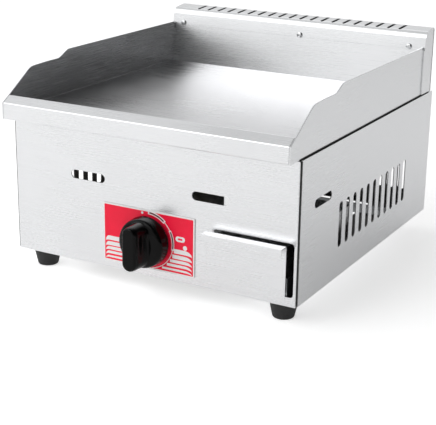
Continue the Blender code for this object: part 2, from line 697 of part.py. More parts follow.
def make_igniter():
    igniter = box("piezo_igniter", (0.0140, -0.204, 0.060), (0.030, -0.182, 0.083), BLACK_PLASTIC)
    join(igniter, rod("piezo_terminal", (0.022, -0.19, VALVE_Z), (0.022, -0.176, VALVE_Z), 0.003))
    electrode = [(0, 0.043), (0.001, 0.043), (0.001, 0.029), (0.0035, 0.027), (0.0035, 0), (0, 0)]
    smooth(turned("spark_electrode", electrode, (0.060, -0.053, 0.137), (0, 0, 1), CERAMIC, 12))
    route = [(0.022, -0.1756, VALVE_Z), (0.0222, -0.1710, VALVE_Z), (0.030, -0.163, 0.0735)]
    route += [(0.048, -0.158, 0.077), (0.063, -0.152, 0.0815), (0.0682, -0.138, 0.090)]
    route += [(0.0665, -0.105, 0.105)]
    route += [(0.0615, -0.068, 0.120), (0.060, -0.053, 0.1305), (0.060, -0.053, 0.1366)]
    tube("ignition_lead", route, 0.0015, LEAD_SLEEVE, sides=6, smooth_route=True)


def make_control():
    corners = ((-CONTROL_PLATE_HALF, CONTROL_PLATE_LOW), (CONTROL_PLATE_HALF, CONTROL_PLATE_HIGH))
    outlines = [rounded_box(*corners, 0.002, 3), circle((0, VALVE_Z), 0.016, 24)]
    flat("control_plate", outlines, 0.001, "XZ", CASING_FRONT - GAP - 0.0005, PRINTED_RED)

    depth = KNOB_BACK - KNOB_FRONT
    body = [(0, 0.0190), (0.0180, 0.0190), (0.0255, 0.0174), (0.0292, 0.0158), (0.0306, 0.0138)]
    body += [(KNOB_RADIUS, 0.0020), (KNOB_RADIUS, 0), (0.0292, 0), (0.0285, 0.0125)]
    body += [(0.0085, 0.0125), (0.0085, 0.0020), (0.0066, 0.0020), (0.0066, 0.0050), (0, 0.0050)]
    knob = turned("knob", body, (0, KNOB_BACK, VALVE_Z), (0, -1, 0), BLACK_PLASTIC, steps=32)
    outline = slot((0, VALVE_Z), 0.0555, 0.020, True, 6)
    grip_base = 0.014
    grip_middle = (KNOB_FRONT + KNOB_BACK - grip_base) / 2
    grip = flat("knob_grip", [outline], depth - grip_base, "XZ", grip_middle)
    edge = grip.modifiers.new("round edges", "BEVEL")
    edge.width = 0.002
    edge.segments = 2
    edge.limit_method = "ANGLE"
    join(knob, grip)
    socket = rod("knob_socket", (0, -0.2235, VALVE_Z), (0, -0.2400, VALVE_Z), 0.0044)
    cut(knob, socket)
    smooth(knob)
    clip = [(0.0062, 0.0030), (0.0062, 0), (0.0044, 0), (0.0044, 0.0030)]
    smooth(turned("knob_clip", clip, (0, -0.2247, VALVE_Z), (0, 1, 0), ZINC, steps=16))


def make_drawer():
    low = (DRAWER_X[0], DRAWER_Y[0], DRAWER_Z[0])
    high = (DRAWER_X[1], DRAWER_Y[1], DRAWER_Z[1])
    tray = box("drawer_tray", low, high, STAINLESS)
    inner_low = (low[0] + SHEET, low[1] + SHEET, low[2] + SHEET)
    inner_high = (high[0] - SHEET, high[1] - SHEET, high[2] + 0.01)
    cut(tray, box("drawer_tray_inside", inner_low, inner_high))

    back = DRAWER_Y[0] - GAP - SHEET / 2
    front = back - 0.012
    line = ((back, 0.0348), (back, 0.0999), (front, 0.0999))
    line = bent_line(line, (0.001,), 2)
    face = folded("drawer_front", line, "X", *DRAWER_FRONT_X, STAINLESS)
    flap_low = (DRAWER_FRONT_X[0], 0.0895)
    flap_high = (DRAWER_FRONT_X[1], 0.1005)
    outline = arc((flap_low[0] + 0.006, flap_low[1] + 0.006), 0.006, 180, 270, 5)
    outline += arc((flap_high[0] - 0.006, flap_low[1] + 0.006), 0.006, 270, 360, 5)
    outline += [flap_high, (flap_low[0], flap_high[1])]
    join(face, flat("drawer_flap", [outline], SHEET, "XZ", front - 0.0001))

    middle = (DRAWER_X[0] + DRAWER_X[1]) / 2
    for name, side in (("left_drawer_runner", -1), ("right_drawer_runner", 1)):
        pieces = (
            ((0.0460, -0.2130, 0.0273), (0.0472, -0.0276, 0.058)),
            ((0.0350, -0.2130, 0.0385), (0.0465, -0.0276, 0.0397)),
            ((0.0465, -0.1990, 0.0273), (0.0560, -0.0276, 0.0285)),
            ((0.0350, -0.0288, 0.0273), (0.0465, -0.0276, 0.058)),
        )
        solids = []
        for start, end in pieces:
            xs = sorted((middle + side * start[0], middle + side * end[0]))
            solids.append(((xs[0], *start[1:]), (xs[1], *end[1:])))
        runner = box(name, *solids[0], GALVANISED)
        for number, solid in enumerate(solids[1:]):
            join(runner, box(f"{name}_leg_{number}", *solid))


def make_feet():
    number = 0
    for y, reach in FOOT_ROWS:
        for x in (-reach, reach):
            number += 1
            top = CASING_BOTTOM - GAP
            profile = [(FOOT_TOP_RADIUS, top), (FOOT_TOP_RADIUS, top - 0.002)]
            profile += [(FOOT_BOTTOM_RADIUS + 0.0005, 0.002), (FOOT_BOTTOM_RADIUS - 0.0015, 0)]
            profile += [(0.0060, 0), (0.0060, 0.012), (0.0029, 0.012), (0.0029, top)]
            smooth(turned(f"foot_{number}", profile, (x, y, 0), (0, 0, 1), RUBBER, steps=18))
            seat = (x, y, 0.012 - GAP)
            screw(f"foot_screw_{number}", seat, (0, 0, 1), 0.022, 0.0045, 0.0025)


def make_casing_screws():
    for number, x in enumerate(HOOD_SCREW_XS):
        seat, down = hood_screw_frame(x)
        screw(f"hood_screw_{number + 1}", seat, down, 0.009)
    number = 0
    for z in BACK_SCREW_ZS:
        for x in BACK_SCREW_XS:
            number += 1
            screw(f"back_screw_{number}", (x, CASING_BACK + GAP, z), (0, -1, 0), 0.008)


make_front_panel()
make_side_panels()
make_back_panel()
make_plate_rails()
make_cooking_tray()
make_grease_path()
make_flue()
make_burner()
make_base()
make_valve()
make_gas_line()
make_igniter()
make_control()
make_drawer()
make_feet()
make_casing_screws()
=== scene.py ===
import json
import math

import bmesh
import bpy
from mathutils import Matrix, Vector

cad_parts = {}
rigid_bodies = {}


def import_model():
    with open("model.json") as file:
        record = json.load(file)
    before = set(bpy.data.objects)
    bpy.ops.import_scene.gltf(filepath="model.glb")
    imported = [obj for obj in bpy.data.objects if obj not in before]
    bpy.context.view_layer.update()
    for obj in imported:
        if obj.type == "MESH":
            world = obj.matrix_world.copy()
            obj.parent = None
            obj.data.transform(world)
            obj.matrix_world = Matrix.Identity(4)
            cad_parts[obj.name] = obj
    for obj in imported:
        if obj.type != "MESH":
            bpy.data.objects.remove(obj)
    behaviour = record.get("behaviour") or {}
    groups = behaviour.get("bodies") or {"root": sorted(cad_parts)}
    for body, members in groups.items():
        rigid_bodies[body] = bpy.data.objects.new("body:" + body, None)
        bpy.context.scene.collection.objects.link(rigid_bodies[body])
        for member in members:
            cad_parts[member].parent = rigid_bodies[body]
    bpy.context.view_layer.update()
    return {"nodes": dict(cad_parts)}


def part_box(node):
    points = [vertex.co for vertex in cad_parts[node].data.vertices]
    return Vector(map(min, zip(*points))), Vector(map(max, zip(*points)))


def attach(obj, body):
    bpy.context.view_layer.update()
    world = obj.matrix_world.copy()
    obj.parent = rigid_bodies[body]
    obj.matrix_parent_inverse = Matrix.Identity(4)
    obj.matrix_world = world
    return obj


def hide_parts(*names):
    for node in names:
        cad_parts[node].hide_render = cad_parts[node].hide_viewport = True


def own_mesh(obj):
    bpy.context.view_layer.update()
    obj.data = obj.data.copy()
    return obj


for startup_object in list(bpy.data.objects):
    bpy.data.objects.remove(startup_object, do_unlink=True)

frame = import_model()

# ---------------------------------------------------------------- camera
# A long lens from the front right, a little above the cooking plate, as
# a seller would show the griddle: knob, drawer, slots and hood all seen.
CAMERA_PLACE = Vector((0.7228, -1.3539, 0.5541))
CAMERA_YAW, CAMERA_PITCH, CAMERA_ROLL = (math.radians(a) for a in (28.85, 18.35, 0.87))

camera_data = bpy.data.cameras.new("camera")
camera_data.sensor_width = 36.0
camera_data.lens = 97.25
camera_data.clip_start = 0.05
camera = bpy.data.objects.new("camera", camera_data)
bpy.context.scene.collection.objects.link(camera)
back = Vector(
    (
        math.sin(CAMERA_YAW) * math.cos(CAMERA_PITCH),
        -math.cos(CAMERA_YAW) * math.cos(CAMERA_PITCH),
        math.sin(CAMERA_PITCH),
    )
)
right = Vector((math.cos(CAMERA_YAW), math.sin(CAMERA_YAW), 0))
up = back.cross(right)
rolled_right = right * math.cos(CAMERA_ROLL) + up * math.sin(CAMERA_ROLL)
rolled_up = up * math.cos(CAMERA_ROLL) - right * math.sin(CAMERA_ROLL)
turn = Matrix((rolled_right, rolled_up, back)).transposed().to_4x4()
camera.matrix_world = Matrix.Translation(CAMERA_PLACE) @ turn
bpy.context.scene.camera = camera

# ---------------------------------------------------------------- studio
# A white sweep with soft light from the left, above and behind, and a
# darker side at the right, which the polished sheets mirror.
bpy.context.scene.view_settings.view_transform = "Standard"


def add_node(tree, kind, settings=None, inputs=None):
    """A node with its settings and inputs; an input given as a socket is linked."""
    made = tree.nodes.new(kind)
    for key, value in (settings or {}).items():
        setattr(made, key, value)
    for key, value in (inputs or {}).items():
        if isinstance(value, bpy.types.NodeSocket):
            tree.links.new(value, made.inputs[key])
        else:
            made.inputs[key].default_value = value
    return made


world = bpy.data.worlds.new("studio")
world.use_nodes = True
bpy.context.scene.world = world
sky = world.node_tree
background = sky.nodes["Background"]
direction = add_node(sky, "ShaderNodeTexCoord")
toward_right = add_node(
    sky,
    "ShaderNodeVectorMath",
    {"operation": "DOT_PRODUCT"},
    {0: direction.outputs["Generated"], 1: (0.944, 0.0, 0.33)},
)
dark_side = add_node(
    sky,
    "ShaderNodeMapRange",
    {"interpolation_type": "SMOOTHSTEP"},
    {
        "Value": toward_right.outputs["Value"],
        "From Min": 0.05,
        "From Max": 0.50,
        "To Min": 1.0,
        "To Max": 0.03,
    },
)
split = add_node(sky, "ShaderNodeSeparateXYZ", None, {0: direction.outputs["Generated"]})
overhead = add_node(
    sky,
    "ShaderNodeMapRange",
    {"interpolation_type": "SMOOTHSTEP"},
    {
        "Value": split.outputs["Z"],
        "From Min": 0.15,
        "From Max": 0.80,
        "To Min": 0.80,
        "To Max": 0.73,
    },
)
soft_box = add_node(
    sky,
    "ShaderNodeMath",
    {"operation": "MULTIPLY"},
    {0: dark_side.outputs["Result"], 1: overhead.outputs["Result"]},
)
ray = add_node(sky, "ShaderNodeLightPath")
seen = add_node(
    sky,
    "ShaderNodeMix",
    {"data_type": "FLOAT"},
    {0: ray.outputs["Is Camera Ray"], 2: soft_box.outputs[0], 3: 1.0},
)
sky.links.new(seen.outputs[0], background.inputs["Strength"])
background.inputs["Color"].default_value = (0.97, 0.975, 0.98, 1)


def soft_light(name, place, target, size, power):
    lamp = bpy.data.lights.new(name, "AREA")
    lamp.shape = "RECTANGLE"
    lamp.size, lamp.size_y = size
    lamp.energy = power
    light = bpy.data.objects.new(name, lamp)
    bpy.context.scene.collection.objects.link(light)
    light.location = place
    aim = Vector(target) - Vector(place)
    light.rotation_euler = aim.to_track_quat("-Z", "Y").to_euler()


soft_light("key_light", (-1.5, -1.6, 2.0), (0, 0, 0.1), (2.8, 2.8), 26)
soft_light("back_light", (-0.6, 2.2, 2.4), (0, 0, 0.2), (2.4, 1.6), 4)
soft_light("front_fill", (-0.6, -2.8, 2.2), (0, 0, 0.1), (2.4, 1.6), 15)


def principled(name, colour, metallic, roughness):
    material = bpy.data.materials.new(name)
    material.use_nodes = True
    shader = material.node_tree.nodes["Principled BSDF"]
    shader.inputs["Base Color"].default_value = (*colour, 1)
    shader.inputs["Metallic"].default_value = metallic
    shader.inputs["Roughness"].default_value = roughness
    return material


floor_bm = bmesh.new()
bmesh.ops.create_circle(floor_bm, cap_ends=True, segments=64, radius=9.0)
floor_mesh = bpy.data.meshes.new("floor")
floor_bm.to_mesh(floor_mesh)
floor_bm.free()
white_sweep = principled("white sweep", (0.93, 0.93, 0.93), 0.0, 0.8)
floor_tree = white_sweep.node_tree
floor_shader = floor_tree.nodes["Principled BSDF"]
floor_shader.inputs["Emission Color"].default_value = (1, 1, 1, 1)
floor_ray = add_node(floor_tree, "ShaderNodeLightPath").outputs["Is Camera Ray"]
lift = add_node(
    floor_tree, "ShaderNodeMath", {"operation": "MULTIPLY_ADD"}, {0: floor_ray, 1: 0.30, 2: 0.30}
)
floor_tree.links.new(lift.outputs[0], floor_shader.inputs["Emission Strength"])
floor_mesh.materials.append(white_sweep)
floor = bpy.data.objects.new("floor", floor_mesh)
bpy.context.scene.collection.objects.link(floor)

# ---------------------------------------------------------------- casing front
# The casing's front is one stainless sheet folded back on its four sides,
# brushed from side to side, with two oblong air slots, the hole for the
# gas valve and the drawer's opening punched in it.
SHEET = 0.0012
CUT_EDGE = 0.00025


def finish(name, colour, metallic, roughness, grain, tint=0.05, wear=0.06, bump=0.05, **more):
    """A surface with fine grain (patterns a metre along X, Y and Z), broad soft
    clouds, and roughness and height that follow them."""
    material = principled(name, colour, metallic, roughness)
    tree = material.node_tree
    shader = tree.nodes["Principled BSDF"]
    for socket, value in more.get("shader", {}).items():
        shader.inputs[socket].default_value = value
    place = add_node(tree, "ShaderNodeTexCoord").outputs["Object"]
    stretched = add_node(tree, "ShaderNodeMapping", None, {"Vector": place, "Scale": grain})
    fine = add_node(
        tree,
        "ShaderNodeTexNoise",
        None,
        {"Vector": stretched.outputs["Vector"], "Scale": 1.0, "Detail": 4.0, "Roughness": 0.6},
    )
    broad = add_node(
        tree,
        "ShaderNodeTexNoise",
        None,
        {"Vector": place, "Scale": more.get("cloud", 7.0), "Detail": 2.0},
    )
    both = add_node(
        tree,
        "ShaderNodeMix",
        {"data_type": "FLOAT"},
        {0: more.get("broad_share", 0.5), 2: fine.outputs["Fac"], 3: broad.outputs["Fac"]},
    )
    dark = [c * (1 - tint) for c in colour]
    light = [min(1.0, c * (1 + tint)) for c in colour]
    ramp = add_node(tree, "ShaderNodeValToRGB", None, {"Fac": both.outputs[0]})
    ramp.color_ramp.elements[0].position = 0.35
    ramp.color_ramp.elements[0].color = (*more.get("low_colour", dark), 1)
    ramp.color_ramp.elements[1].position = 0.65
    ramp.color_ramp.elements[1].color = (*light, 1)
    tree.links.new(ramp.outputs["Color"], shader.inputs["Base Color"])
    gloss = add_node(
        tree,
        "ShaderNodeMapRange",
        None,
        {
            "Value": both.outputs[0],
            "From Min": 0.3,
            "From Max": 0.7,
            "To Min": max(0.02, roughness - wear),
            "To Max": min(1.0, roughness + wear),
        },
    )
    tree.links.new(gloss.outputs["Result"], shader.inputs["Roughness"])
    relief = add_node(
        tree,
        "ShaderNodeBump",
        None,
        {"Strength": bump, "Distance": more.get("depth", 0.0002), "Height": fine.outputs["Fac"]},
    )
    tree.links.new(relief.outputs["Normal"], shader.inputs["Normal"])
    return material


def brushed(name, along, colour=(0.80, 0.805, 0.815), roughness=0.27):
    """Stainless sheet brushed along one axis."""
    grain = [14.0 if axis == along else 1500.0 for axis in "XYZ"]
    return finish(name, colour, 1.0, roughness, grain, tint=0.035, wear=0.05, bump=0.045)


BRUSHED_X = brushed("stainless brushed across", "X")
BRUSHED_Y = brushed("stainless brushed front to back", "Y")
BRUSHED_Z = brushed("stainless brushed upright", "Z")


def new_object(name, mesh):
    made = bpy.data.objects.new(name, mesh)
    bpy.context.scene.collection.objects.link(made)
    return made


def object_from(name, bm):
    mesh = bpy.data.meshes.new(name)
    bm.to_mesh(mesh)
    bm.free()
    return new_object(name, mesh)


def settled(obj):
    """The object with its modifiers worked into a plain mesh."""
    bpy.context.view_layer.update()
    graph = bpy.context.evaluated_depsgraph_get()
    mesh = bpy.data.meshes.new_from_object(obj.evaluated_get(graph))
    obj.modifiers.clear()
    obj.data = mesh
    return obj


def combine(obj, operation, *others):
    """Cuts the others from the object, or adds them, and takes them away."""
    for other in others:
        modifier = obj.modifiers.new(other.name, "BOOLEAN")
        modifier.operation = operation
        modifier.solver = "EXACT"
        modifier.object = other
    settled(obj)
    for other in others:
        bpy.data.objects.remove(other, do_unlink=True)
    return obj


def box(name, low, high):
    bm = bmesh.new()
    bmesh.ops.create_cube(bm, size=1.0)
    bmesh.ops.scale(bm, vec=[b - a for a, b in zip(low, high)], verts=bm.verts)
    bmesh.ops.translate(bm, vec=[(a + b) / 2 for a, b in zip(low, high)], verts=bm.verts)
    return object_from(name, bm)


def softened(obj, width=CUT_EDGE, angle=40, segments=2):
    """Rounds the object's sharp edges a little and shades it smoothly."""
    edge = obj.modifiers.new("soft edges", "BEVEL")
    edge.width = width
    edge.segments = segments
    edge.limit_method = "ANGLE"
    edge.angle_limit = math.radians(angle)
    edge.use_clamp_overlap = True
    settled(obj)
    obj.data.shade_smooth()
    obj.data.set_sharp_from_angle(angle=math.radians(50))
    flat_faces = obj.modifiers.new("flat faces", "WEIGHTED_NORMAL")
    flat_faces.mode = "FACE_AREA"
    flat_faces.weight = 100
    flat_faces.keep_sharp = True
    return settled(obj)


def install(obj, material, body, slot, *nodes):
    """Gives the finished piece its surface, its body and the CAD nodes it stands for."""
    obj.data.materials.clear()
    obj.data.materials.append(material)
    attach(obj, body)
    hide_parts(*nodes)
    return obj


# Near-black dull metal for the inner faces of the casing and cover, seen through slots and gaps:
# painted shade of the inside.
PAINTED_INSIDE_SHADE = finish(
    "painted shade inside", (0.10, 0.097, 0.095), 1.0, 0.5, (80.0, 80.0, 80.0), tint=0.25, cloud=30.0
)


def paint_inside_shade(obj, low, high):
    """Gives the inner faces between two corners a near-black dull metal: painted shade, the dark of
    the casing's inside.
    """
    obj.data.materials.append(PAINTED_INSIDE_SHADE)
    middle = (Vector(low) + Vector(high)) / 2
    for face in obj.data.polygons:
        within = all(a < c < b for a, c, b in zip(low, face.center, high))
        if within and face.normal.dot(middle - face.center) > 0:
            face.material_index = 1


def new_tree(name, sizes):
    """A geometry tree whose inputs are named sizes; the value says which kind each is."""
    tree = bpy.data.node_groups.new(name, "GeometryNodeTree")
    sockets = {int: "NodeSocketInt", float: "NodeSocketFloat", tuple: "NodeSocketVector"}
    tree.interface.new_socket("Geometry", in_out="INPUT", socket_type="NodeSocketGeometry")
    tree.interface.new_socket("Geometry", in_out="OUTPUT", socket_type="NodeSocketGeometry")
    for label, value in sizes.items():
        kind = sockets.get(type(value), "NodeSocketObject")
        socket = tree.interface.new_socket(label, in_out="INPUT", socket_type=kind)
        if value is not None:
            socket.default_value = value
    tree.interface.new_socket("Surface", in_out="INPUT", socket_type="NodeSocketMaterial")
    return tree, tree.nodes.new("NodeGroupInput").outputs


def end_tree(tree, given, geometry):
    real = add_node(tree, "GeometryNodeRealizeInstances", None, {"Geometry": geometry})
    inputs = {"Geometry": real.outputs[0], "Material": given["Surface"]}
    coated = add_node(tree, "GeometryNodeSetMaterial", None, inputs)
    tree.links.new(coated.outputs[0], tree.nodes.new("NodeGroupOutput").inputs[0])


def grow(obj, tree, material, sizes):
    """Runs a tree on the object with these sizes and keeps the result as a plain mesh."""
    modifier = obj.modifiers.new(tree.name, "NODES")
    modifier.node_group = tree
    for item in tree.interface.items_tree:
        if item.in_out == "INPUT" and item.name in sizes:
            modifier[item.identifier] = sizes[item.name]
        elif item.in_out == "INPUT" and item.name == "Surface":
            modifier[item.identifier] = material
    return settled(obj)


# One row of punched holes: a rectangle with round corners, made deep enough to
# pass through the sheet, set on each point of a line, turned, and cut away.
PUNCH, given = new_tree(
    "row of punched holes",
    {
        "Count": 1,
        "First": (0.0, 0.0, 0.0),
        "Step": (0.0, 0.0, 0.0),
        "Length": 0.05,
        "Width": 0.011,
        "Corner": 0.005,
        "Corner steps": 8,
        "Depth": 0.006,
        "Turn": (0.0, 0.0, 0.0),
    },
)
hole = add_node(
    PUNCH,
    "GeometryNodeCurvePrimitiveQuadrilateral",
    None,
    {"Width": given["Length"], "Height": given["Width"]},
)
hole = add_node(
    PUNCH,
    "GeometryNodeFilletCurve",
    {"mode": "POLY"},
    {"Curve": hole.outputs[0], "Count": given["Corner steps"], "Radius": given["Corner"]},
)
hole = add_node(PUNCH, "GeometryNodeFillCurve", {"mode": "NGONS"}, {"Curve": hole.outputs[0]})
pushed = add_node(
    PUNCH,
    "GeometryNodeExtrudeMesh",
    None,
    {"Mesh": hole.outputs[0], "Offset Scale": given["Depth"], "Individual": False},
)
underside = add_node(PUNCH, "GeometryNodeFlipFaces", None, {"Mesh": hole.outputs[0]})
slug = add_node(PUNCH, "GeometryNodeJoinGeometry")
PUNCH.links.new(pushed.outputs["Mesh"], slug.inputs[0])
PUNCH.links.new(underside.outputs[0], slug.inputs[0])
slug = add_node(
    PUNCH,
    "GeometryNodeMergeByDistance",
    None,
    {"Geometry": slug.outputs[0], "Distance": 0.00001},
)
half_depth = add_node(
    PUNCH, "ShaderNodeMath", {"operation": "MULTIPLY"}, {0: given["Depth"], 1: -0.5}
)
centring = add_node(PUNCH, "ShaderNodeCombineXYZ", None, {"Z": half_depth.outputs[0]})
slug = add_node(
    PUNCH,
    "GeometryNodeTransform",
    None,
    {"Geometry": slug.outputs[0], "Translation": centring.outputs[0]},
)
row = add_node(
    PUNCH,
    "GeometryNodeMeshLine",
    {"mode": "OFFSET"},
    {"Count": given["Count"], "Start Location": given["First"], "Offset": given["Step"]},
)
slugs = add_node(
    PUNCH,
    "GeometryNodeInstanceOnPoints",
    None,
    {"Points": row.outputs[0], "Instance": slug.outputs[0], "Rotation": given["Turn"]},
)
slugs = add_node(PUNCH, "GeometryNodeRealizeInstances", None, {"Geometry": slugs.outputs[0]})
punched = add_node(
    PUNCH,
    "GeometryNodeMeshBoolean",
    {"operation": "DIFFERENCE", "solver": "EXACT"},
    {"Mesh 1": given["Geometry"], "Mesh 2": slugs.outputs[0]},
)
end_tree(PUNCH, given, punched.outputs["Mesh"])

FACING_FRONT = (math.radians(90), 0.0, 0.0)
FACING_SIDE = (math.radians(90), 0.0, math.radians(90))
UPRIGHT_FRONT = (math.radians(90), math.radians(90), 0.0)
UPRIGHT_SIDE = (math.radians(90), math.radians(90), math.radians(90))


def punch(obj, material, first, size, turned, count=1, step=(0, 0, 0), corner=None, depth=0.006):
    """Punches a row of holes; size is a hole's length and width, and round ends need no corner."""
    length, width = size
    sizes = {
        "Count": count,
        "First": first,
        "Step": tuple(float(part) for part in step),
        "Length": length,
        "Width": width,
        "Corner": corner or width * 0.4999,
        "Corner steps": 8,
        "Depth": depth,
        "Turn": turned,
    }
    return grow(obj, PUNCH, material, sizes)


FOLD = 0.0014


def pan(name, low, high, open_side, fold=FOLD):
    """A sheet folded on four sides into a shallow pan, open at one side along Y."""
    bm = bmesh.new()
    bmesh.ops.create_cube(bm, size=1.0)
    bmesh.ops.scale(bm, vec=high - low, verts=bm.verts)
    bmesh.ops.translate(bm, vec=(high + low) / 2, verts=bm.verts)
    lids = [face for face in bm.faces if face.normal.y * open_side > 0.9]
    bmesh.ops.delete(bm, geom=lids, context="FACES_ONLY")
    folds = [edge for edge in bm.edges if not edge.is_boundary]
    bmesh.ops.bevel(bm, geom=folds, offset=fold, segments=4, affect="EDGES", profile=0.5)
    bmesh.ops.recalc_face_normals(bm, faces=bm.faces)
    obj = object_from(name, bm)
    shell = obj.modifiers.new("sheet", "SOLIDIFY")
    shell.thickness = SHEET
    shell.offset = -1
    shell.use_even_offset = True
    return settled(obj)


panel_low, panel_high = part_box("front_panel")
front = pan("casing_front", panel_low, panel_high, 1)
face_y = panel_low.y + SHEET / 2
# The knob and the valve share one axis; a hole's size is its length and width
AXIS = (0.0, 0.0715)
VALVE_HOLE = 0.0208
FRONT_SLOT, FRONT_SLOT_STEP = (0.050, 0.011), (0.173, 0, 0)
DRAWER_OPENING, OPENING_CORNER = (0.105, 0.0658), 0.004
slot_place, opening_place = (-0.088, face_y, 0.138), (0.1425, face_y, 0.0689)
punch(front, BRUSHED_X, slot_place, FRONT_SLOT, FACING_FRONT, 2, FRONT_SLOT_STEP)
punch(front, BRUSHED_X, opening_place, DRAWER_OPENING, FACING_FRONT, corner=OPENING_CORNER)
punch(front, BRUSHED_X, (AXIS[0], face_y, AXIS[1]), (VALVE_HOLE, VALVE_HOLE), FACING_FRONT)
install(softened(front), BRUSHED_X, "casing", "stainless", "front_panel")
INSIDE = (Vector((-0.1994, -0.2144, 0.0245)), Vector((0.1994, 0.2144, 0.1995)))
# The front's inner faces get the painted shade of the casing's inside.
paint_inside_shade(front, *INSIDE)

# ---------------------------------------------------------------- casing sides
# Each side is a sheet folded in at its foot, for the rubber feet, and at its
# back, for the back panel's screws. Eleven upright slots and a lying one let
# air to the burner, and a black strip set in the joint with the front is
# painted shadow, standing in for the shade of that gap.


def bent(points, radii, steps=8):
    """The points of a line whose inner corners are rounded, one radius for each."""
    line = [points[0]]
    for before, corner, after, radius in zip(points, points[1:], points[2:], radii):
        corner = Vector(corner)
        inward = (Vector(before) - corner).normalized()
        outward = (Vector(after) - corner).normalized()
        half = inward.angle(outward) / 2
        centre = corner + (inward + outward).normalized() * radius / math.sin(half)
        start = corner + inward * radius / math.tan(half) - centre
        end = corner + outward * radius / math.tan(half) - centre
        for step in range(steps + 1):
            spoke = start.slerp(end, step / steps).normalized() * radius
            line.append(tuple(centre + spoke))
    line.append(points[-1])
    return line


def folded(name, line, axis, low, high, thickness=SHEET):
    """Sheet folded along lines in X or Y; the line is the middle of the sheet."""
    bm = bmesh.new()
    if axis == "X":
        points = [bm.verts.new((low, y, z)) for y, z in line]
        sweep = (high - low, 0, 0)
    else:
        points = [bm.verts.new((x, low, z)) for x, z in line]
        sweep = (0, high - low, 0)
    edges = [bm.edges.new(pair) for pair in zip(points, points[1:])]
    swept = bmesh.ops.extrude_edge_only(bm, edges=edges)
    moved = [part for part in swept["geom"] if isinstance(part, bmesh.types.BMVert)]
    bmesh.ops.translate(bm, vec=sweep, verts=moved)
    obj = object_from(name, bm)
    shell = obj.modifiers.new("sheet", "SOLIDIFY")
    shell.thickness = thickness
    shell.offset = 0
    shell.use_even_offset = True
    settled(obj)
    bm = bmesh.new()
    bm.from_mesh(obj.data)
    bmesh.ops.recalc_face_normals(bm, faces=bm.faces)
    bm.to_mesh(obj.data)
    bm.free()
    return obj


JOINT = 0.0018
FOOT_FLANGE_X = 0.122
FLANGE_END_Y = 0.1997
SIDE_SLOT, SIDE_SLOT_COUNT, SIDE_SLOT_STEP = (0.058, 0.010), 11, (0, 0.0215, 0)
LYING_SLOT = (0.048, 0.011)
# Near-black for the strip in the front joint: painted shadow, the shade of the gap between front
# and side.
JOINT_SHADOW_BLACK = finish("black painted as joint shadow", (0.010, 0.010, 0.010), 0.0, 0.5, (300.0, 300.0, 300.0), bump=0.1)
for side, word in ((-1, "left"), (1, "right")):
    node = f"{word}_side_panel"
    low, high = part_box(node)
    outer = max(abs(low.x), abs(high.x))
    middle = outer - SHEET / 2
    foot_z = low.z + SHEET / 2
    corners = ((side * FOOT_FLANGE_X, foot_z), (side * middle, foot_z), (side * middle, high.z))
    panel = folded(f"casing_{word}", bent(corners, (FOLD,), 6), "Y", low.y + JOINT, high.y)
    notches = []
    for start, end in ((low.y - 0.01, -FLANGE_END_Y), (FLANGE_END_Y, high.y + 0.01)):
        xs = sorted((side * 0.11, side * (outer - SHEET)))
        notches.append(box("notch", (xs[0], start, 0.02), (xs[1], end, 0.030)))
    combine(panel, "DIFFERENCE", *notches)
    xs = sorted((side * 0.183, side * (outer - SHEET / 2)))
    combine(panel, "UNION", box("tab", (xs[0], 0.2123, 0.0262), (xs[1], high.y - 0.00005, 0.1985)))
    x = side * middle
    row = (SIDE_SLOT, UPRIGHT_SIDE, SIDE_SLOT_COUNT, SIDE_SLOT_STEP)
    punch(panel, BRUSHED_Y, (x, -0.097, 0.093), *row)
    punch(panel, BRUSHED_Y, (x, -0.151, 0.139), LYING_SLOT, FACING_SIDE)
    install(softened(panel), BRUSHED_Y, "casing", "stainless", node)
    # The side's inner faces get the painted shade of the casing's inside.
    paint_inside_shade(panel, *INSIDE)
    # A black strip set into the joint with the front: painted shadow that darkens the gap.
    xs = sorted((side * (outer - SHEET), side * (outer - 0.0005)))
    shadow_strip_low = (xs[0], low.y - 0.0002, low.z + SHEET)
    shadow_strip = box(f"joint_bead_{word}", shadow_strip_low, (xs[1], low.y + JOINT + 0.0002, high.z - 0.001))
    install(softened(shadow_strip, 0.0003, segments=3), JOINT_SHADOW_BLACK, "casing", "rubber")

# ---------------------------------------------------------------- casing back
# The back is a sheet folded forward at its top and foot and held to the
# sides by four screws. Sixteen upright slots let air in, and the gas inlet
# comes out through a round hole low down on the left as the cook sees it.
BACK_SLOT, BACK_SLOT_COUNT, BACK_SLOT_STEP = (0.046, 0.011), 16, (0.0165, 0, 0)
INLET_X, INLET_HOLE = -0.150, 0.0218
low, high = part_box("back_panel")
middle = high.y - SHEET / 2
corners = (
    (low.y, low.z + SHEET / 2),
    (middle, low.z + SHEET / 2),
    (middle, high.z - SHEET / 2),
    (low.y, high.z - SHEET / 2),
)
rear = folded("casing_back", bent(corners, (FOLD, FOLD), 6), "X", -0.1965, 0.1965)
wings = []
for side in (-1, 1):
    xs = sorted((side * 0.19, side * 0.1995))
    wings.append(box("wing", (xs[0], high.y - SHEET, 0.0262), (xs[1], high.y - 0.00002, 0.1980)))
combine(rear, "UNION", *wings)
row = (BACK_SLOT, UPRIGHT_FRONT, BACK_SLOT_COUNT, BACK_SLOT_STEP)
punch(rear, BRUSHED_X, (-0.085, middle, 0.073), *row)
punch(rear, BRUSHED_X, (INLET_X, middle, AXIS[1]), (INLET_HOLE, INLET_HOLE), FACING_FRONT)
install(softened(rear), BRUSHED_X, "casing", "stainless", "back_panel")
# The back's inner faces get the painted shade of the casing's inside.
paint_inside_shade(rear, *INSIDE)

